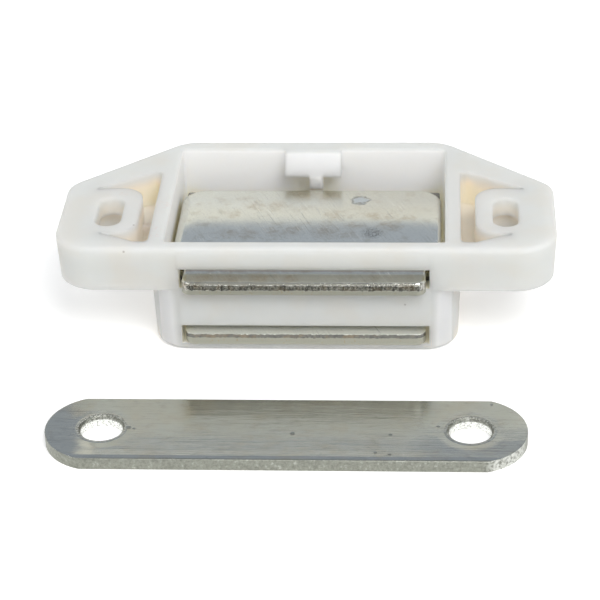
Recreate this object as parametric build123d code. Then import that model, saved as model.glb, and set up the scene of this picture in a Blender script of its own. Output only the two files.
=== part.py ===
"""Magnetic cupboard catch: a moulded housing, a floating magnet pack with two pole plates, and the strike plate.

Millimetres, +Z up. The poles face -Y, the open mounting side faces +Z and the closed bottom stands on Z = 0.
Y is measured from the front face here. The parts are exported about the middle of the bottom of the housing.
"""

import os
from math import radians, tan

from build123d import *

same_place = 1e-6

# Housing, outside
housing_length = 56.0
housing_depth = 26.2
housing_height = 13.2
rear_length = 30.9
cut_slope = 0.887
flange_thickness = 5.3
flange_draft = 2.6
flange_radii = (4.5, 3.0, 4.5)
body_length = 34.8
body_draft = 2.0
body_radii = (3.8, 1.0, 3.2)
top_edge_radius = 0.5
rim_radius = 0.3
bottom_edge_radius = 0.8
panel_length = 28.2
panel_height = 0.08

# Housing, magnet pocket
pocket_length = 31.2
front_wall = 1.75
rear_wall = 2.15
floor_thickness = 1.05
pocket_corner_radius = 0.3
slot_length = 27.8
slot_height = 2.35
web_above_lower_slot = 4.85

# Housing, ears
screw_spacing = 44.8
screw_setback = 8.6
screw_slot_width = 2.9
screw_slot_length = 6.5
screw_seat_thickness = 2.2
screw_recess_width = 5.2
divider_thickness = 1.75
cavity_front = 1.65
cavity_rear = 18.8
cavity_front_slope = 0.5
cavity_rear_slope = 0.64
cavity_floor_thickness = 1.2
cavity_corner_radius = 0.6
boss_side_wall = 1.95
boss_front_wall = 1.7
boss_rear_wall = 2.35
boss_radius = 2.6
ear_web_thickness = 0.7
ear_web_depth = 2.6
ear_web_setback = 10.2

# Housing, snap hook and the stop under it
hook_width = 6.7
hook_start = 0.35
hook_reach = 2.8
stop_height = 1.75
stop_width = 1.6
stop_depth = 0.9
stop_offset = 0.4
stop_radius = 0.3
stop_overlap = 0.6

# Magnet pack
pole_thickness = 1.5
tongue_proud = 1.55
lower_pole_step = 1.05
pole_rear_radius = 3.0
tongue_radius = 1.0
pole_edge_radius = 0.35
magnet_side_play = 0.6
magnet_edge_radius = 0.3
side_play = 0.4
play_out = 0.9
play_in = 0.9
magnet_rear_gap = 1.65

# Strike plate
strike_length = 51.2
strike_width = 11.5
strike_thickness = 1.33
strike_end_radius = 6.0
strike_hole_diameter = 4.55
strike_hole_spacing = 39.1
strike_hole_chamfer = 0.2
strike_edge_radius = 0.25
strike_x = -1.25
strike_gap = 11.85

# Derived levels and positions
flange_bottom = housing_height - flange_thickness
pocket_rear = housing_depth - rear_wall
lower_slot_level = floor_thickness
upper_slot_level = lower_slot_level + slot_height + web_above_lower_slot
magnet_level = lower_slot_level + pole_thickness
magnet_height = upper_slot_level - magnet_level
magnet_front = front_wall + play_out
magnet_depth = pocket_rear - magnet_rear_gap - magnet_front
magnet_length = pocket_length - 2 * magnet_side_play
upper_pole_top = upper_slot_level + pole_thickness
head_length = pocket_length - 2 * side_play
tongue_width = slot_length - 2 * side_play
screw_x = screw_spacing / 2
divider_face = pocket_length / 2 + divider_thickness
boss_face = screw_x - screw_slot_width / 2 - boss_side_wall
boss_front = screw_setback - screw_slot_length / 2 - boss_front_wall
boss_rear = screw_setback + screw_slot_length / 2 + boss_rear_wall
recess_length = screw_slot_length + screw_recess_width - screw_slot_width
cavity_level = flange_bottom + cavity_floor_thickness
stop_bottom = upper_pole_top - stop_overlap
hook_level = stop_bottom + stop_height
hook_tip = pocket_rear - hook_reach
tongue_length = tongue_proud + front_wall + play_out
pole_length = tongue_proud + hook_tip - play_in


def block(x_limits, y_limits, z_limits):
    """A box given by its limits along X, Y and Z."""
    low, high = zip(x_limits, y_limits, z_limits)
    size = [b - a for a, b in zip(low, high)]
    return Pos(*low) * Box(*size, align=Align.MIN)


def top_rims(solid):
    """The edges round the openings in the top face of a solid."""
    rims = solid.faces().sort_by(Axis.Z)[-1].inner_wires()
    return [edge for rim in rims for edge in rim.edges()]


def uprights(solid):
    """The edges of a solid that run from one level to another."""
    return [edge for edge in solid.edges() if abs((edge @ 1 - edge @ 0).Z) > same_place]


def drafted(length, radii, bottom, top, draft):
    """A block with the rear corners cut off, whose two end walls lean in towards the bottom by the draft angle."""
    half = length / 2
    rear = rear_length / 2
    side = housing_depth - cut_slope * (half - rear)
    lean = (top - bottom) * tan(radians(draft))
    front_radius, side_radius, rear_radius = radii

    half_plan = [(half, 0), (half, side), (rear, housing_depth)]
    mirrored = [(-x, y) for x, y in reversed(half_plan)]
    plan = make_face(Polyline(*half_plan, *mirrored, close=True))
    plan = fillet(plan.vertices().group_by(Axis.Y)[-1], rear_radius)
    front_view = make_face(
        Plane.XZ
        * Polyline((-half, top), (half, top), (half - lean, bottom), (lean - half, bottom), close=True)
    )
    solid = Pos(0, 0, bottom) * extrude(plan, top - bottom)
    solid &= extrude(front_view, housing_depth, both=True)

    front_corners = [edge for edge in uprights(solid) if edge.center().Y < same_place]
    solid = fillet(front_corners, front_radius)
    side_corners = [edge for edge in uprights(solid) if abs((edge @ 1 - edge @ 0).Y) > same_place]
    return fillet(side_corners, side_radius)


def slotted(length, width):
    """A slot face along Y about the screw position of the +X ear."""
    return Pos(screw_x, screw_setback) * SlotOverall(length, width, rotation=90)


def ear_cavity():
    """The hollow of the +X ear, which wraps round three sides of the screw boss."""
    front_tip = boss_face + (boss_front - cavity_front) / cavity_front_slope
    rear_tip = divider_face + (cavity_rear - boss_rear) / cavity_rear_slope
    hollow = make_face(
        Polyline(
            (divider_face, cavity_front),
            (boss_face, cavity_front),
            (front_tip, boss_front),
            (rear_tip, boss_rear),
            (divider_face, cavity_rear),
            close=True,
        )
    )
    inner = hollow.vertices().group_by(Axis.X)[0]
    hollow = fillet(inner, cavity_corner_radius)
    boss = make_face(
        Polyline(
            (boss_face, boss_front),
            (housing_length / 2, boss_front),
            (housing_length / 2, boss_rear),
            (boss_face, boss_rear),
            close=True,
        )
    )
    boss = fillet(boss.vertices().group_by(Axis.X)[0], boss_radius)
    plan = Pos(0, 0, cavity_level) * (hollow - boss)
    return extrude(plan, housing_height - cavity_level)


def screw_slot():
    """The screw slot of the +X ear, with a wide recess for the head from underneath."""
    seat_level = housing_height - screw_seat_thickness
    through = extrude(slotted(screw_slot_length, screw_slot_width), housing_height)
    recess = extrude(slotted(recess_length, screw_recess_width), seat_level)
    return through + recess


def snap_hook():
    """Wedge on the rear wall, with the narrow stop that hangs from it behind the upper pole plate."""
    wedge = make_face(
        Plane.YZ
        * Polyline(
            (pocket_rear + rear_wall / 2, housing_height),
            (pocket_rear - hook_start, housing_height),
            (hook_tip, hook_level),
            (pocket_rear + rear_wall / 2, hook_level),
            close=True,
        )
    )
    wedge = extrude(wedge, hook_width / 2, both=True)
    stop = block(
        (stop_offset - stop_width / 2, stop_offset + stop_width / 2),
        (hook_tip, hook_tip + stop_depth),
        (stop_bottom, hook_level),
    )
    stop = fillet(stop.edges().group_by(Axis.Z)[0], stop_radius)
    return wedge + stop


def make_housing():
    """The one moulded piece that holds the pack and takes the two screws."""
    flange = drafted(housing_length, flange_radii, flange_bottom, housing_height, flange_draft)
    flange = fillet(flange.edges().group_by(Axis.Z)[-1], top_edge_radius)
    body = drafted(body_length, body_radii, 0, flange_bottom, body_draft)
    body = fillet(body.edges().group_by(Axis.Z)[0], bottom_edge_radius)
    panel = block(
        (-panel_length / 2, panel_length / 2),
        (-panel_height, panel_height),
        (bottom_edge_radius, housing_height - top_edge_radius),
    )
    housing = flange + body + panel

    pocket = block(
        (-pocket_length / 2, pocket_length / 2),
        (front_wall, pocket_rear),
        (floor_thickness, housing_height),
    )
    housing -= fillet(pocket.edges().filter_by(Axis.Z), pocket_corner_radius)
    for level in (lower_slot_level, upper_slot_level):
        housing -= block(
            (-slot_length / 2, slot_length / 2),
            (-front_wall, front_wall),
            (level, level + slot_height),
        )

    housing -= screw_slot()
    housing -= mirror(screw_slot(), Plane.YZ)
    housing = fillet(top_rims(housing), rim_radius)
    housing -= ear_cavity()
    housing -= mirror(ear_cavity(), Plane.YZ)
    ear_web = block(
        (-boss_face - ear_web_thickness, -divider_face + ear_web_thickness),
        (ear_web_setback - ear_web_thickness / 2, ear_web_setback + ear_web_thickness / 2),
        (cavity_level, housing_height - ear_web_depth),
    )
    return housing + ear_web + snap_hook()


def pole_plate(level, tip, rolled_side):
    """A stamped plate with a wide head inside the pocket and a tongue through the front slot.

    Its punched edge is rolled over on the face away from the magnet: -1 is the upper face, 0 the lower one.
    """
    shoulder = tip + tongue_length
    head = Pos(0, (shoulder + tip + pole_length) / 2) * Rectangle(head_length, pole_length - tongue_length)
    head = fillet(head.vertices().group_by(Axis.Y)[-1], pole_rear_radius)
    tongue = Pos(0, tip + tongue_length / 2) * Rectangle(tongue_width, tongue_length)
    tongue = fillet(tongue.vertices().group_by(Axis.Y)[0], tongue_radius)
    plate = Pos(0, 0, level) * extrude(head + tongue, pole_thickness)
    return fillet(plate.edges().group_by(Axis.Z)[rolled_side], pole_edge_radius)


def make_magnet():
    """The ceramic block clamped between the two pole plates by its own pull."""
    magnet = block(
        (-magnet_length / 2, magnet_length / 2),
        (magnet_front, magnet_front + magnet_depth),
        (magnet_level, magnet_level + magnet_height),
    )
    return fillet(magnet.edges().filter_by(Axis.Z), magnet_edge_radius)


def make_strike():
    """The flat steel plate that goes on the door, with two screw holes."""
    blank = Rectangle(strike_length, strike_width)
    arc_centre = strike_length / 2 - strike_end_radius
    ends = [Pos(x, 0) * Circle(strike_end_radius) for x in (-arc_centre, arc_centre)]
    middle = Rectangle(2 * arc_centre, strike_width)
    blank = blank & (middle + ends)
    holes = GridLocations(strike_hole_spacing, 0, 2, 1) * Circle(strike_hole_diameter / 2)
    plate = extrude(blank - holes, strike_thickness)
    plate = chamfer(top_rims(plate), strike_hole_chamfer)
    outer = plate.faces().sort_by(Axis.Z)[-1].outer_wire()
    long_edges = outer.edges().sort_by(SortBy.LENGTH)[-2:]
    plate = fillet(long_edges, strike_edge_radius)
    return Pos(strike_x, -strike_gap - strike_width / 2) * plate


parts = {
    "housing": make_housing(),
    "upper_pole_plate": pole_plate(upper_slot_level, -tongue_proud, -1),
    "lower_pole_plate": pole_plate(lower_slot_level, lower_pole_step - tongue_proud, 0),
    "magnet": make_magnet(),
    "strike_plate": make_strike(),
}

os.makedirs("parts", exist_ok=True)
for name, shape in parts.items():
    export_step(Pos(0, -housing_depth / 2) * shape, f"parts/{name}.step")
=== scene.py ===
"""Looks of the magnetic catch: camera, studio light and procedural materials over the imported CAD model.

The CAD nodes are dressed as they are: nothing is added to them, moved or reshaped. Lengths in the materials are
millimetres of the part's frame, where X runs along the ears, the poles face -Y and the pocket opens towards +Z.
"""

from dataclasses import dataclass
from math import cos, radians, sin

import bpy
from mathutils import Matrix, Vector


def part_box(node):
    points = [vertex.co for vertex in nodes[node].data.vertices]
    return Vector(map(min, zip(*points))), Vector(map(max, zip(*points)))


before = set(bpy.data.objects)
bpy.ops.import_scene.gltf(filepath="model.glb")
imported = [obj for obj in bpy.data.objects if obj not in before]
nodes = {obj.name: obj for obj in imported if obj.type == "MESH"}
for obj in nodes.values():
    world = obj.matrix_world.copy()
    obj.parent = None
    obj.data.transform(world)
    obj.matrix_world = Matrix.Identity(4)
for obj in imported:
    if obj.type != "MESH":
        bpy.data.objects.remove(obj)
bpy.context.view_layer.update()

scene = bpy.context.scene

MM = 0.001
WHITE = (1, 1, 1, 1)

# Camera: where it stands in the part's frame (metres), its heading, tilt and roll (radians) and its lens
CAMERA_PLACE = (0.01483, -0.22765, 0.13485)
CAMERA_HEADING = -0.0712
CAMERA_TILT = -0.5373
CAMERA_ROLL = -0.0327
SENSOR_WIDTH = 36.0
CAMERA_LENS = 135.1
CAMERA_NEAR = 0.01

# Studio: the light of the room seen in each direction, the table and the soft lamps (metres and watts)
BACKDROP = (0.95, 0.93, 0.86, 1)
ROOM = (0.42, 0.46, 0.53, 1)
CEILING = (0.28, 0.29, 0.30, 1)
FRONT = (0.39, 0.38, 0.36, 1)
BACKDROP_TOP = radians(29)
BACKDROP_BLUR = 0.020
CEILING_EDGE = radians(62)
CEILING_BLUR = 0.06
SIDE_BLUR = 0.3
FLOOR_COLOUR = (0.85, 0.85, 0.85, 1)
FLOOR_LIFT = 0.40
FLOOR_SIZE = 3.0
KEY_PLACE = (0.27, -0.56, 0.70)
KEY_SIZE = 0.45
KEY_POWER = 5.5
FILL_PLACE = (-0.45, -0.30, 0.60)
FILL_SIZE = 0.5
FILL_POWER = 0.8

# Plastic: colours, with painted light that makes the pocket paler and painted warm light in the shaded hollows and
# crevices, how deep light enters it, and where the pocket, hollows and crevices lie (millimetres)
PLASTIC = (0.715, 0.73, 0.715, 1)
PLASTIC_WARM = (0.715, 0.71, 0.675, 1)
PLASTIC_POCKET_PAINTED_LIGHT = (1.0, 1.0, 0.955, 1)
PLASTIC_HOLLOW_PAINTED_LIGHT = (1.0, 0.875, 0.74, 1)
PLASTIC_CREVICE_PAINTED_LIGHT = (0.98, 0.86, 0.66, 1)
PLASTIC_SPECK = (0.30, 0.28, 0.25, 1)
PLASTIC_RUB = (0.72, 0.52, 0.46, 1)
PLASTIC_GRIME = (0.66, 0.60, 0.50, 1)
PLASTIC_DEPTH = 4.0
PLASTIC_SCATTER = (1.0, 0.96, 0.90)
PLASTIC_IOR = 1.49
PLASTIC_SPECULAR = 0.35
PLASTIC_EDGE = 0.6
POCKET_SIDE = 16.5
POCKET_FRONT = -12.9
POCKET_REAR = 11.1
POCKET_BOTTOM = 0.5
POCKET_TOP = 13.0
HOLLOW_PAINTED_LIGHT_FULL_BELOW = 11.4
SLOT_SIDE = 13.2
CREVICE_REAR = (6.0, 8.0)

# Zinc of the pole plates
ZINC = (0.76, 0.77, 0.71, 1)
ZINC_PALE = (0.93, 0.93, 0.88, 1)
ZINC_SMUDGE = (0.50, 0.45, 0.35, 1)
ZINC_STAIN = (0.38, 0.27, 0.14, 1)
ZINC_DARK = (0.14, 0.14, 0.13, 1)
ZINC_CHIPPED = (0.66, 0.72, 0.76, 1)
ZINC_BURNISHED = (0.52, 0.52, 0.48, 1)
ZINC_BLACKENED = (0.20, 0.20, 0.18, 1)
ZINC_TORN = (0.39, 0.39, 0.33, 1)
ZINC_EDGE = 0.12
ZINC_ROUGHEST = 0.6

# Steel of the strike plate
STEEL = (0.52, 0.53, 0.485, 1)
STEEL_WARM = (0.51, 0.475, 0.38, 1)
STEEL_DARK = (0.12, 0.12, 0.11, 1)
STEEL_SIDE = (0.31, 0.32, 0.275, 1)
STEEL_BRIGHT = (0.93, 0.94, 0.90, 1)
STEEL_EDGE = 0.15

# Ferrite of the magnet
FERRITE = (0.20, 0.19, 0.175, 1)
FERRITE_PALE = (0.30, 0.285, 0.26, 1)
FERRITE_EDGE = 0.3

# Marks on the plastic: their places
SPECKS = (
    (-19.8, -13.1, 12.8),
    (11.2, -13.1, 6.2),
    (-15.3, -13.1, 3.8),
    (25.4, -12.6, 13.2),
    (-19.3, -7.7, 13.2),
)
RUBS = (
    (-16.4, -2.6, 13.2),
    (-16.0, -3.4, 13.2),
    (-16.5, -8.6, 13.2),
    (-16.6, -10.0, 13.2),
    (-21.4, -0.4, 13.2),
)

# Stains on the pole plates: X, Y and radius
STAINS = (
    (2.6, 1.0, 0.9),
    (5.0, -1.4, 0.8),
    (7.3, 0.8, 0.9),
    (9.2, 0.6, 0.7),
    (11.5, 0.3, 0.7),
    (9.3, -1.8, 0.9),
    (-3.9, 3.4, 1.1),
    (-6.4, 3.2, 0.8),
    (-1.6, 6.4, 1.6),
    (1.6, 5.6, 1.2),
    (-9.1, -3.3, 0.8),
    (-6.8, -3.3, 0.9),
    (-4.3, -2.8, 0.8),
    (-1.9, -2.8, 0.9),
    (2.0, -3.0, 1.3),
    (4.6, -3.4, 0.9),
    (-8.8, 1.2, 0.7),
    (-11.0, -13.3, 1.0),
    (-8.2, -13.5, 1.3),
    (-5.0, -13.4, 1.1),
    (-1.5, -13.6, 0.8),
)

# Other marks on the pole plates: the black cluster, the crater, and the lean and middle of the scratches
CLUSTER = (7.3, -3.2)
CRATER = (5.7, 4.6)
SCRATCH_LEAN = radians(-24.5)
SCRATCH_BUNDLE = (0.6, -0.8)

# Where the upper plate is dull, matt or stained: each from 0 at the first place to 1 at the second
DULL_ALONG_X = (-8.0, 8.0)
DULL_ALONG_Y = (-1.0, 3.0)
MATT_ALONG_Y = (-1.0, 3.5)
MOUTH_STAIN_FRONT = (-12.3, -11.9)
MOUTH_STAIN_REAR = (-10.9, -11.2)

# Form of the pole plates beyond the CAD model: their bow, the roll of the side edges, and where tongue and lip start
BOW = 0.006
BOW_MIDDLE = -0.27
ROLL_START = 12.9
ROLL = 0.03
TONGUE_START = -11.4
LIP_START = -14.0

# Marks on the strike plate: X, Y and radius
STEEL_MARKS = (
    (-17.9, -30.7, 0.20),
    (-17.3, -30.9, 0.08),
    (-0.4, -31.6, 0.16),
    (9.9, -31.7, 0.10),
    (14.9, -30.1, 0.09),
    (20.6, -25.9, 0.10),
    (8.4, -35.0, 0.08),
    (9.9, -35.3, 0.08),
)
# The painted highlight on the side at the right front corner: X, Y and Z of its middle
PAINTED_HIGHLIGHT_CORNER = (22.4, -35.0, 0.7)

# Holes of the strike plate: the radius round them that takes in the bore, the speckled rim and the dish
HOLE_SPACING = 39.1
HOLE_BORE = 3.0
HOLE_RIM = 2.62
HOLE_DISH = 2.3
HOLE_DISH_SLOPE = 1.6
HOLE_DISH_DEPTH = 0.042
BORE_WORN = (0.40, 0.50)

# Form of the strike plate beyond the CAD model: its hollow, full between two places, and its rolled front edge
STEEL_HOLLOW = 0.0026
HOLLOW_LEFT = (-23.8, -20.8)
HOLLOW_RIGHT = (11.0, 15.0)
HOLLOW_RIGHT_SHARE = 0.6
STEEL_ROLL = 0.75
STEEL_ROLL_SLOPE = 0.10


@dataclass(frozen=True)
class PoleFinish:
    """What differs between the two pole plates."""

    node: str
    band_start: float  # the burnished band of the edge, in millimetres below the top
    band_end: float
    band_colour: tuple
    tongue_slope: float  # the form of the tongue, as a bump
    lip_curve: float
    tongue_matt: float  # what is added to the tongue's roughness
    soil: float  # the share of the stains, from 0 to 1


UPPER_PLATE = PoleFinish("upper_pole_plate", 0.28, 0.98, ZINC_BURNISHED, -0.03, 0.10, 0.04, 1.0)
LOWER_PLATE = PoleFinish("lower_pole_plate", 0.07, 0.52, ZINC_BLACKENED, -0.36, 0.0, 0.25, 0.0)


class Wiring:
    """Adds nodes to one node tree and joins them up."""

    def __init__(self, tree):
        self.tree = tree

    def put(self, socket, value):
        if isinstance(value, bpy.types.NodeSocket):
            self.tree.links.new(value, socket)
        else:
            socket.default_value = value

    def node(self, kind, values=(), **settings):
        node = self.tree.nodes.new(kind)
        for key, value in settings.items():
            setattr(node, key, value)
        for key, value in dict(values).items():
            self.put(node.inputs[key], value)
        return node

    def math(self, operation, a, b=0.0):
        return self.node("ShaderNodeMath", {0: a, 1: b}, operation=operation).outputs[0]

    def vector_math(self, operation, a, b):
        return self.node("ShaderNodeVectorMath", {0: a, 1: b}, operation=operation)

    def chain(self, operation, values):
        """One operation on several values in turn."""
        result = values[0]
        for value in values[1:]:
            result = self.math(operation, result, value)
        return result

    def total(self, *values):
        return self.chain("ADD", values)

    def product(self, *values):
        return self.chain("MULTIPLY", values)

    def most(self, *values):
        return self.chain("MAXIMUM", values)

    def less(self, a, b):
        return self.math("SUBTRACT", a, b)

    def size_of(self, value):
        return self.math("ABSOLUTE", value)

    def past(self, value, limit):
        """How far a value is over a limit, and 0 under it."""
        return self.math("MAXIMUM", self.less(value, limit), 0.0)

    def short(self, value, limit):
        """How far a value is under a limit, and 0 over it."""
        return self.math("MAXIMUM", self.less(limit, value), 0.0)

    def rise(self, value, low, high):
        """0 below low, 1 above high and smooth between them; low may be the greater one."""
        values = {"Value": value, "From Min": low, "From Max": high}
        return self.node("ShaderNodeMapRange", values, interpolation_type="SMOOTHSTEP").outputs[0]

    def within(self, value, low, high, edge=0.15):
        """1 between two limits, with soft ends."""
        return self.product(self.rise(value, low - edge, low + edge), self.rise(value, high + edge, high - edge))

    def ranged(self, value, low, high):
        """A value from 0 to 1 stretched to run from low to high."""
        return self.node("ShaderNodeMapRange", {"Value": value, "To Min": low, "To Max": high}).outputs[0]

    def blend(self, amount, a, b):
        return self.node("ShaderNodeMix", {0: amount, 6: a, 7: b}, data_type="RGBA").outputs[2]

    def layers(self, colour, layers):
        """A colour with others laid over it in turn: each has its place, its strength and its colour."""
        for where, strength, shade in layers:
            colour = self.blend(self.product(where, strength), colour, shade)
        return colour

    def axes(self, vector):
        return self.node("ShaderNodeSeparateXYZ", {0: vector}).outputs

    def place(self):
        """The point on the piece in millimetres of the part's frame, which moves with the piece."""
        own = self.node("ShaderNodeTexCoord").outputs["Object"]
        return self.node("ShaderNodeVectorMath", {0: own, "Scale": 1 / MM}, operation="SCALE").outputs[0]

    def turned(self, place, angle):
        values = {"Vector": place, "Angle": angle}
        return self.node("ShaderNodeVectorRotate", values, rotation_type="Z_AXIS").outputs[0]

    def noise(self, place, scale, detail=2.0, roughness=0.5):
        values = {"Vector": place, "Scale": scale, "Detail": detail, "Roughness": roughness}
        return self.node("ShaderNodeTexNoise", values).outputs[0]

    def streaks(self, place, scales, detail, roughness=0.5):
        """A noise with its own scale along each axis, so that it runs along the least scaled one."""
        return self.noise(self.vector_math("MULTIPLY", place, scales).outputs[0], 1.0, detail, roughness)

    def stirred(self, place, scale, reach):
        """The place moved about by a noise, so that shapes drawn on it turn ragged."""
        values = {"Vector": place, "Scale": scale, "Detail": 3.0}
        drift = self.node("ShaderNodeTexNoise", values).outputs["Color"]
        drift = self.vector_math("SUBTRACT", drift, (0.5, 0.5, 0.5)).outputs[0]
        drift = self.vector_math("MULTIPLY", drift, (reach, reach, 0.0)).outputs[0]
        return self.vector_math("ADD", place, drift).outputs[0]

    def spot(self, place, centre, radius, edge):
        """1 within the radius round a centre and 0 past the radius and its soft edge."""
        away = self.vector_math("DISTANCE", place, centre).outputs["Value"]
        return self.rise(away, radius + edge, radius)

    def spots(self, place, centres, radius, edge):
        return self.most(*[self.spot(place, centre, radius, edge) for centre in centres])

    def sides(self):
        """1 on the upright faces of a plate and 0 on its flats, and the reverse."""
        upward = self.axes(self.node("ShaderNodeNewGeometry").outputs["Normal"])[2]
        side = self.rise(self.size_of(upward), 0.97, 0.80)
        return side, self.less(1.0, side)

    def edges(self, radius):
        """The normal with edges rounded to a radius, and 1 along those edges."""
        rounded = self.node("ShaderNodeBevel", {"Radius": radius * MM}, samples=4).outputs[0]
        sharp = self.node("ShaderNodeNewGeometry").outputs["Normal"]
        agreed = self.vector_math("DOT_PRODUCT", rounded, sharp).outputs["Value"]
        return rounded, self.rise(agreed, 0.995, 0.88)


def new_material(name):
    """A material with only its Principled shader, and the wiring to dress it."""
    material = bpy.data.materials.new(name)
    material.use_nodes = True
    return material, Wiring(material.node_tree), material.node_tree.nodes["Principled BSDF"]


def add_bump(w, shader, heights, normal):
    """Heights in millimetres, added up, as a bump over a normal."""
    values = {"Strength": 1.0, "Distance": MM, "Height": w.total(*heights), "Normal": normal}
    w.put(shader.inputs["Normal"], w.node("ShaderNodeBump", values).outputs[0])


def plastic():
    """Moulded natural plastic: off-white and translucent, with painted light that makes it pale inside the pocket and
    painted warm light that makes it tan in the shaded hollows of the ears and the crevices beside the pack.
    """
    material, w, shader = new_material("moulded_plastic")
    place = w.place()
    x, y, z = w.axes(place)
    across = w.size_of(x)
    normal, worn = w.edges(PLASTIC_EDGE)
    flecks = w.noise(place, 1.6, 5, 0.7)

    below_top = w.within(z, POCKET_BOTTOM, POCKET_TOP)
    in_ears = w.rise(across, POCKET_SIDE, POCKET_SIDE + 0.2)
    in_pocket = w.rise(across, POCKET_SIDE, POCKET_SIDE - 0.2)
    # pocket: where painted light makes the walls paler, standing in for light that bounces into the pocket
    pocket = w.product(below_top, in_pocket, w.within(y, POCKET_FRONT, POCKET_REAR))

    open_sky = w.node("ShaderNodeAmbientOcclusion", {"Distance": PLASTIC_DEPTH * MM}, samples=8).outputs["AO"]
    # hollow: painted warm light in the shaded hollows of the ears, laid where the ambient occlusion finds them shut
    # in
    hollow_painted_light = w.product(w.rise(open_sky, 0.90, 0.35), w.rise(z, POCKET_TOP + 0.1, HOLLOW_PAINTED_LIGHT_FULL_BELOW), in_ears)
    beside_pack = w.most(w.within(across, SLOT_SIDE, POCKET_SIDE), w.rise(y, *CREVICE_REAR))
    # crevice: painted warm light in the shaded crevices beside the pack and at the pocket's rear, laid where the
    # ambient occlusion finds them shut in
    crevice_painted_light = w.product(w.rise(open_sky, 0.45, 0.15), beside_pack, below_top)

    patches = w.rise(w.noise(place, 0.16, 3), 0.42, 0.68)
    grime = w.product(worn, w.rise(flecks, 0.52, 0.72))
    rubs = w.product(w.spots(place, RUBS, 0.10, 0.70), w.rise(flecks, 0.50, 0.62))
    colour = w.layers(
        PLASTIC,
        [
            (patches, 1.0, PLASTIC_WARM),
            # painted light: the pocket's walls made paler
            (pocket, 1.0, PLASTIC_POCKET_PAINTED_LIGHT),
            # painted warm light, tan in the shaded hollows of the ears
            (hollow_painted_light, 1.0, PLASTIC_HOLLOW_PAINTED_LIGHT),
            # painted warm light, tan in the shaded crevices
            (crevice_painted_light, 1.0, PLASTIC_CREVICE_PAINTED_LIGHT),
            (grime, 0.25, PLASTIC_GRIME),
            (rubs, 0.40, PLASTIC_RUB),
            (w.spots(place, SPECKS, 0.07, 0.12), 0.65, PLASTIC_SPECK),
        ],
    )
    w.put(shader.inputs["Base Color"], colour)
    w.put(shader.inputs["Roughness"], w.total(w.ranged(w.noise(place, 0.9, 4), 0.34, 0.50), w.product(worn, 0.12)))
    shader.inputs["Subsurface Weight"].default_value = 1.0
    shader.inputs["Subsurface Radius"].default_value = PLASTIC_SCATTER
    shader.inputs["Subsurface Scale"].default_value = PLASTIC_DEPTH * MM
    shader.inputs["IOR"].default_value = PLASTIC_IOR
    shader.inputs["Specular IOR Level"].default_value = PLASTIC_SPECULAR
    waves = w.product(w.noise(place, 0.7, 2), 0.02)
    grain = w.product(w.noise(place, 6.0, 3), 0.0012)
    nicks = w.product(worn, flecks, 0.010)
    add_bump(w, shader, [waves, grain, nicks], normal)
    return material


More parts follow.
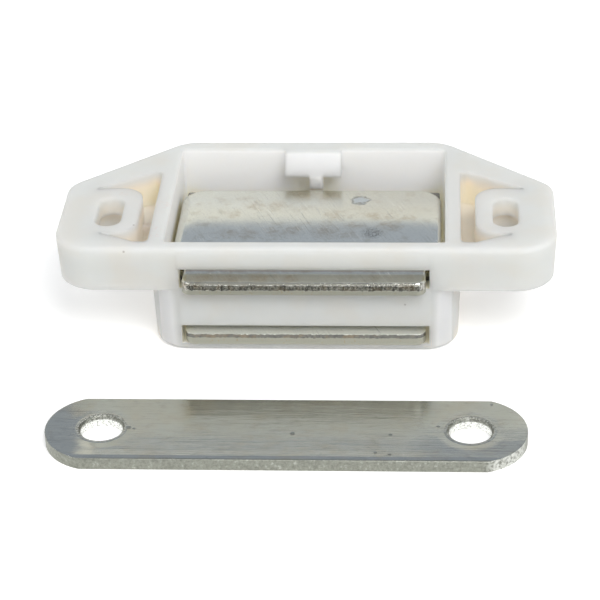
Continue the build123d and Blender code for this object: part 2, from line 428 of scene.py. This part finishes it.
def zinc(finish):
    """Zinc plated steel of a pole plate: a stained and scratched flat, and an edge burnished above and torn below."""
    material, w, shader = new_material("zinc_" + finish.node)
    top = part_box(finish.node)[1].z / MM
    place = w.place()
    x, y, z = w.axes(place)
    side, flat = w.sides()
    normal, worn = w.edges(ZINC_EDGE)
    clouds = w.noise(place, 0.22, 4, 0.6)
    blots = w.noise(place, 0.55, 4, 0.65)
    flecks = w.noise(place, 2.6, 5, 0.7)
    dust = w.noise(place, 7.0, 3, 0.7)

    # Scratches lean across the flat, and gather in bundles
    leaning = w.turned(place, SCRATCH_LEAN)
    grain = w.streaks(leaning, (6.5, 0.22, 1.0), 5, 0.75)
    gathered = w.rise(w.streaks(leaning, (0.5, 0.09, 1.0), 2), 0.45, 0.65)
    bundle = w.spot(place, (*SCRATCH_BUNDLE, top), 1.5, 4.0)
    scratched = w.product(w.ranged(w.most(gathered, bundle), 0.35, 1.0), flat)
    dark_lines = w.product(w.rise(grain, 0.57, 0.66), scratched)
    pale_lines = w.product(w.rise(grain, 0.43, 0.35), scratched)

    # Stains and dirt
    smudged = w.product(w.rise(blots, 0.50, 0.70), finish.soil)
    dull_rear = w.product(w.rise(x, *DULL_ALONG_X), w.rise(y, *DULL_ALONG_Y), finish.soil)
    dusted = w.product(w.rise(dust, 0.56, 0.66), flat)
    ragged_place = w.stirred(place, 1.0, 2.6)
    stains = w.most(*[w.spot(ragged_place, (sx, sy, top), 0.0, radius * 1.9) for sx, sy, radius in STAINS])
    stained = w.product(stains, w.ranged(w.rise(flecks, 0.35, 0.65), 0.35, 1.0), flat, finish.soil)
    on_tongue = w.product(w.rise(y, TONGUE_START + 0.1, TONGUE_START - 0.1), flat)
    soiled_tongue = w.product(on_tongue, finish.soil)
    uneven_y = w.total(y, w.ranged(blots, -0.5, 0.5))
    mouth_ends = w.product(w.rise(uneven_y, *MOUTH_STAIN_FRONT), w.rise(y, *MOUTH_STAIN_REAR))
    at_mouth = w.product(mouth_ends, flat, finish.soil)
    cluster = w.product(w.spot(place, (*CLUSTER, top), 0.5, 1.1), w.rise(dust, 0.46, 0.54))

    # The crater: a pale chip with a ragged dark rim
    crater_place = w.stirred(place, 1.6, 1.2)
    chipped = w.streaks(place, (1.1, 1.7, 1.0), 2, 0.6)
    crater = w.spot(crater_place, (*CRATER, top), 0.55, 0.45)
    crater_ring = w.product(w.spot(crater_place, (*CRATER, top), 0.95, 0.25), w.less(1.0, crater))
    crater_rim = w.product(crater_ring, w.rise(flecks, 0.42, 0.56))

    # The sheared edge: burnished in a band below the top, and torn under that
    ragged = w.streaks(place, (2.6, 1.0, 0.9), 5, 0.75)
    drop = w.total(w.less(top, z), w.ranged(ragged, -0.28, 0.28))
    burnished = w.product(w.within(drop, finish.band_start, finish.band_end, 0.05), side)
    torn = w.product(w.rise(drop, finish.band_end - 0.05, finish.band_end + 0.05), side)
    drawn = w.streaks(place, (4.5, 1.0, 2.2), 5, 0.75)

    colour = w.layers(
        ZINC,
        [
            (smudged, 0.35, ZINC_SMUDGE),
            (dull_rear, 0.25, ZINC_SMUDGE),
            (soiled_tongue, 0.30, ZINC_DARK),
            (at_mouth, 0.45, ZINC_STAIN),
            (stained, 0.42, ZINC_STAIN),
            (dusted, 0.22, ZINC_DARK),
            (cluster, 0.80, ZINC_DARK),
            (crater, 0.70, ZINC_CHIPPED),
            (crater_rim, 0.75, ZINC_DARK),
            (dark_lines, 0.42, ZINC_DARK),
            (pale_lines, 0.50, ZINC_PALE),
            (burnished, 1.0, finish.band_colour),
            (w.product(burnished, w.rise(drawn, 0.42, 0.58)), 1.0, ZINC_DARK),
            (w.product(burnished, w.rise(blots, 0.46, 0.62)), 0.30, ZINC_STAIN),
            (torn, 1.0, ZINC_TORN),
            (w.product(torn, w.rise(drawn, 0.58, 0.68)), 0.60, ZINC_STAIN),
            (w.product(worn, flat), 0.35, ZINC_PALE),
        ],
    )
    w.put(shader.inputs["Base Color"], colour)
    shader.inputs["Metallic"].default_value = 1.0
    rough = w.total(
        w.ranged(clouds, 0.07, 0.13),
        w.product(w.total(dark_lines, pale_lines, crater, crater_rim), 0.14),
        w.product(burnished, 0.10),
        w.product(torn, 0.42),
        w.product(w.rise(y, *MATT_ALONG_Y), 0.10),
        w.product(on_tongue, finish.tongue_matt),
    )
    w.put(shader.inputs["Roughness"], w.math("MINIMUM", rough, ZINC_ROUGHEST))

    off_middle = w.less(w.math("MAXIMUM", y, TONGUE_START), BOW_MIDDLE)
    past_roll = w.past(w.size_of(x), ROLL_START)
    past_lip = w.short(y, LIP_START)
    heights = [
        w.product(grain, scratched, 0.004),
        w.product(clouds, 0.010),
        w.product(off_middle, off_middle, -BOW),
        w.product(past_roll, past_roll, -ROLL),
        w.product(w.short(y, TONGUE_START), finish.tongue_slope, flat),
        w.product(past_lip, past_lip, flat, finish.lip_curve),
        w.product(crater, chipped, 0.03),
        w.product(dust, 0.0012),
        w.product(drawn, burnished, 0.03),
        w.product(ragged, torn, 0.06),
    ]
    add_bump(w, shader, heights, normal)
    return material


def steel():
    """Brushed steel of the strike plate: brushed along its length, dished round its holes, with sheared sides and a
    painted highlight on the side at its right front corner.
    """
    material, w, shader = new_material("brushed_steel")
    low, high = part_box("strike_plate")
    middle = (low + high) / 2 / MM
    top = high.z / MM
    holes = [(middle.x + step * HOLE_SPACING / 2, middle.y, top) for step in (-1, 1)]
    place = w.place()
    x, y, z = w.axes(place)
    side, flat = w.sides()
    normal, worn = w.edges(STEEL_EDGE)

    brush = w.streaks(place, (0.12, 3.4, 1.0), 5, 0.7)
    fine = w.streaks(place, (0.40, 7.0, 1.0), 4, 0.7)
    wide = w.streaks(place, (0.10, 1.0, 1.0), 3, 0.6)
    mottle = w.streaks(place, (0.8, 1.6, 1.0), 4, 0.7)
    clouds = w.noise(place, 0.30, 4, 0.65)
    flecks = w.noise(place, 3.0, 5, 0.7)
    sparks = w.noise(place, 5.5, 4, 0.75)
    marks = w.most(*[w.spot(place, (mx, my, top), radius, 0.15) for mx, my, radius in STEEL_MARKS])
    # painted highlight on the side at the right front corner
    painted_corner_highlight = w.product(w.spot(place, PAINTED_HIGHLIGHT_CORNER, 1.6, 1.8), side)
    bore = w.product(w.spots(place, holes, HOLE_BORE, 0.1), side)
    bore_bottom = w.product(bore, w.rise(w.less(top, z), *BORE_WORN))
    hole_rim = w.spots(place, holes, HOLE_RIM, 0.25)

    colour = w.layers(
        STEEL,
        [
            (w.rise(clouds, 0.45, 0.70), 0.50, STEEL_WARM),
            (w.rise(brush, 0.54, 0.72), 0.24, STEEL_DARK),
            (w.rise(fine, 0.54, 0.68), 0.18, STEEL_DARK),
            (w.rise(mottle, 0.52, 0.70), 0.16, STEEL_DARK),
            (marks, 0.45, STEEL_DARK),
            (side, 1.0, STEEL_SIDE),
            (w.product(side, w.rise(flecks, 0.48, 0.62)), 0.38, STEEL_DARK),
            (w.product(side, w.rise(flecks, 0.42, 0.34)), 0.28, STEEL_BRIGHT),
            (bore_bottom, 1.0, STEEL_BRIGHT),
            # painted highlight at the right front corner
            (w.product(painted_corner_highlight, w.rise(flecks, 0.62, 0.46)), 0.60, STEEL_BRIGHT),
            (w.product(worn, flat, w.rise(sparks, 0.50, 0.58)), 0.90, STEEL_BRIGHT),
            (w.product(hole_rim, w.rise(sparks, 0.50, 0.44)), 0.55, STEEL_DARK),
            (w.product(hole_rim, w.rise(sparks, 0.52, 0.58)), 0.40, STEEL_BRIGHT),
        ],
    )
    w.put(shader.inputs["Base Color"], colour)
    shader.inputs["Metallic"].default_value = 1.0
    torn = w.less(side, bore_bottom)
    rough = w.total(w.ranged(clouds, 0.10, 0.16), w.product(torn, 0.25), w.product(marks, 0.2))
    w.put(shader.inputs["Roughness"], rough)

    off_rear = w.less(y, high.y / MM)
    hollowed = w.product(w.rise(x, *HOLLOW_LEFT), w.ranged(w.rise(x, *HOLLOW_RIGHT), 1.0, HOLLOW_RIGHT_SHARE))
    heights = [
        w.product(brush, 0.004),
        w.product(fine, 0.002),
        w.product(wide, 0.015),
        w.product(mottle, 0.004),
        w.product(w.spots(place, holes, HOLE_DISH, HOLE_DISH_SLOPE), -HOLE_DISH_DEPTH),
        w.product(off_rear, off_rear, hollowed, STEEL_HOLLOW),
        w.product(w.short(y, low.y / MM + STEEL_ROLL), -STEEL_ROLL_SLOPE),
        w.product(marks, -0.02),
        w.product(flecks, torn, 0.08),
        w.product(sparks, worn, flat, 0.12),
        w.product(sparks, hole_rim, 0.05),
    ]
    add_bump(w, shader, heights, normal)
    return material


def ferrite():
    """Dark ceramic magnet with a fine grain and chipped edges."""
    material, w, shader = new_material("ferrite")
    place = w.place()
    normal, worn = w.edges(FERRITE_EDGE)
    grains = w.noise(place, 4.0, 5, 0.7)
    chipped = w.product(worn, w.rise(grains, 0.45, 0.60))
    colour = w.layers(FERRITE, [(grains, 1.0, FERRITE_PALE), (chipped, 0.5, ZINC_DARK)])
    w.put(shader.inputs["Base Color"], colour)
    w.put(shader.inputs["Roughness"], w.ranged(grains, 0.5, 0.8))
    add_bump(w, shader, [w.product(grains, 0.03), w.product(chipped, -0.05)], normal)
    return material


def table():
    """Pale table. The camera and the reflections see it lifted to white, with the object's shadow kept."""
    material, w, shader = new_material("table")
    shader.inputs["Base Color"].default_value = FLOOR_COLOUR
    w.put(shader.inputs["Roughness"], w.ranged(w.noise(w.place(), 0.02, 2), 0.75, 0.85))
    path = w.node("ShaderNodeLightPath").outputs
    seen = w.total(path["Is Camera Ray"], path["Is Glossy Ray"], path["Is Transmission Ray"])
    shader.inputs["Emission Color"].default_value = WHITE
    w.put(shader.inputs["Emission Strength"], w.product(seen, FLOOR_LIFT))
    return material


def add_floor():
    half = FLOOR_SIZE / 2
    corners = [(-half, -half, 0), (half, -half, 0), (half, half, 0), (-half, half, 0)]
    mesh = bpy.data.meshes.new("floor")
    mesh.from_pydata(corners, [], [(0, 1, 2, 3)])
    mesh.materials.append(table())
    floor = bpy.data.objects.new("floor", mesh)
    scene.collection.objects.link(floor)


def add_studio():
    """The room: a white backdrop behind the object, a cooler wall over it, a ceiling and a grey front."""
    world = bpy.data.worlds.new("studio")
    scene.world = world
    world.use_nodes = True
    w = Wiring(world.node_tree)
    _, y, z = w.axes(w.node("ShaderNodeTexCoord").outputs["Generated"])
    over = w.rise(z, sin(BACKDROP_TOP) - BACKDROP_BLUR, sin(BACKDROP_TOP) + BACKDROP_BLUR)
    behind = w.rise(y, -SIDE_BLUR, SIDE_BLUR)
    overhead = w.rise(z, sin(CEILING_EDGE) - CEILING_BLUR, sin(CEILING_EDGE) + CEILING_BLUR)
    room = w.blend(overhead, w.blend(behind, FRONT, w.blend(over, BACKDROP, ROOM)), CEILING)
    seen = w.node("ShaderNodeLightPath").outputs["Is Camera Ray"]
    w.put(world.node_tree.nodes["Background"].inputs["Color"], w.blend(seen, room, WHITE))


def add_lamp(name, place, size, power):
    """A soft square lamp aimed at the object."""
    data = bpy.data.lights.new(name, "AREA")
    data.size = size
    data.energy = power
    lamp = bpy.data.objects.new(name, data)
    lamp.location = place
    lamp.rotation_euler = (-lamp.location).to_track_quat("-Z", "Y").to_euler()
    lamp.visible_camera = False
    scene.collection.objects.link(lamp)


def add_camera():
    level = Vector((cos(CAMERA_HEADING), -sin(CAMERA_HEADING), 0))
    ahead = Vector((sin(CAMERA_HEADING), cos(CAMERA_HEADING), 0))
    forward = cos(CAMERA_TILT) * ahead + Vector((0, 0, sin(CAMERA_TILT)))
    upward = level.cross(forward)
    right = cos(CAMERA_ROLL) * level + sin(CAMERA_ROLL) * upward
    up = cos(CAMERA_ROLL) * upward - sin(CAMERA_ROLL) * level
    data = bpy.data.cameras.new("camera")
    data.sensor_width = SENSOR_WIDTH
    data.lens = CAMERA_LENS
    data.clip_start = CAMERA_NEAR
    camera = bpy.data.objects.new("camera", data)
    camera.matrix_world = Matrix.Translation(CAMERA_PLACE) @ Matrix((right, up, -forward)).transposed().to_4x4()
    scene.collection.objects.link(camera)
    scene.camera = camera


def dress(name, material):
    materials = nodes[name].data.materials
    materials.clear()
    materials.append(material)


add_camera()
dress("housing", plastic())
dress("upper_pole_plate", zinc(UPPER_PLATE))
dress("lower_pole_plate", zinc(LOWER_PLATE))
dress("magnet", ferrite())
dress("strike_plate", steel())
add_floor()
add_studio()
add_lamp("key", KEY_PLACE, KEY_SIZE, KEY_POWER)
add_lamp("fill", FILL_PLACE, FILL_SIZE, FILL_POWER)

scene.view_settings.view_transform = "Standard"
